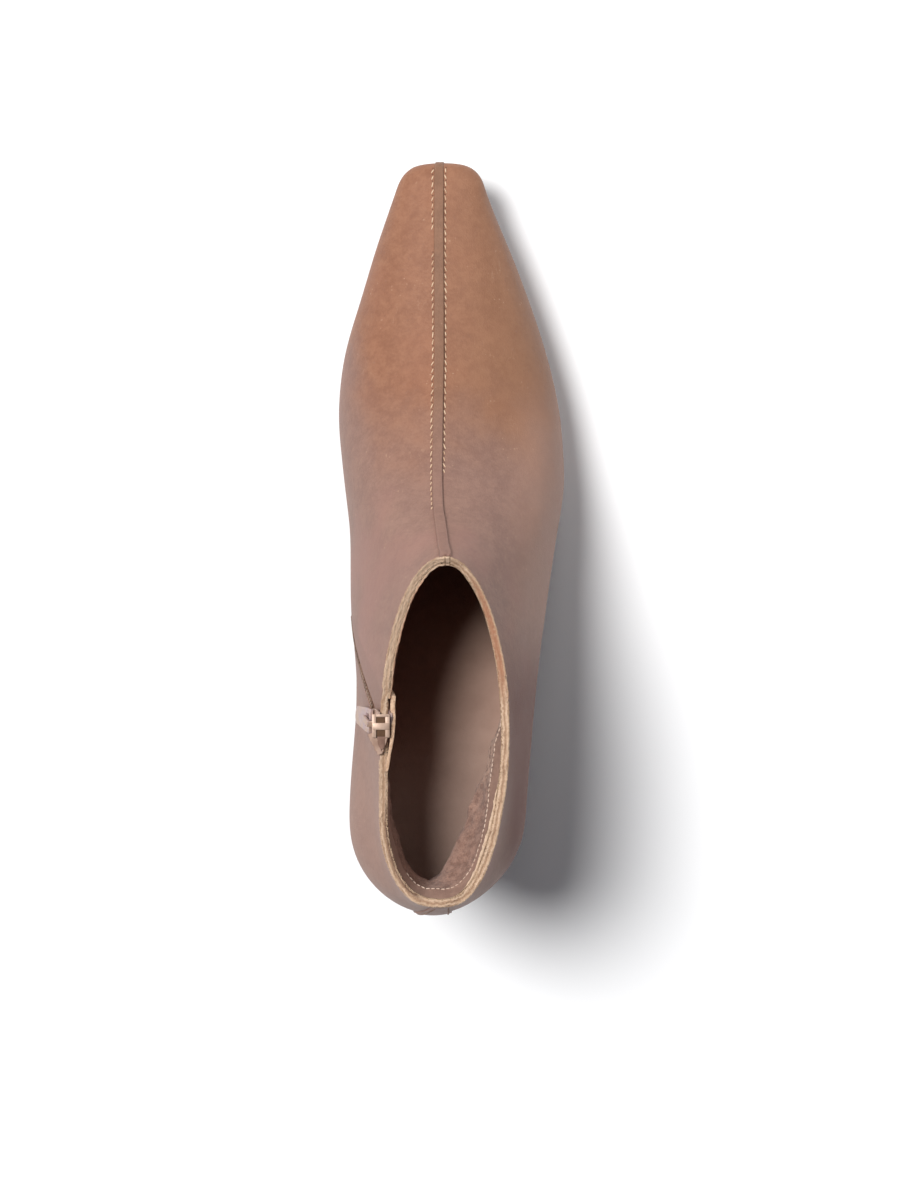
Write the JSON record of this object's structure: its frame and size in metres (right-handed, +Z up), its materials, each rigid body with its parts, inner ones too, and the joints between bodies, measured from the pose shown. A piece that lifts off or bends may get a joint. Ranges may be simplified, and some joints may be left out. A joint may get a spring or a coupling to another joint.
{
  "type": "heeled ankle boot",
  "caption": "Women's heeled ankle boot for the right foot: hollow leather upper with narrow squared toe, raised centre seam, inner side zip with swinging pull, thin sole and block heel.",
  "frame": {"origin": "middle of the boot's footprint box, on the floor it stands on", "axes": "+Y towards the toe, +X towards the outer (lateral) side of the right foot, +Z up"},
  "size_m": [0.0809, 0.2642, 0.122],
  "materials": {
    "upper_leather": "waxed, softly worn",
    "insole_leather": "matt sock leather",
    "guard_leather": "raw cut",
    "sole_rubber": "matt",
    "heel_leather": "stacked, polished",
    "zip_metal": "polished, warm tint",
    "zip_tape": "woven"
  },
  "bodies": {
    "boot": {"upper": "upper_leather", "insole": "insole_leather", "outsole": "sole_rubber", "heel_block": "heel_leather", "top_lift": "sole_rubber", "seam_piping": "upper_leather", "back_strip": "upper_leather", "zip_chain": "zip_metal", "zip_tape": "zip_tape", "zip_guard": "guard_leather", "zip_slider": "zip_metal"},
    "pull": {"zip_pull": "zip_metal"}
  },
  "joints": [
    {"name": "zip_pull_swing", "type": "hinge", "parent": "boot", "child": "pull", "pos_m": [-0.02709, -0.0646, 0.10711], "axis": [0.0641, 0.9956, 0.0682], "range_deg": [0, 150]}
  ]
}
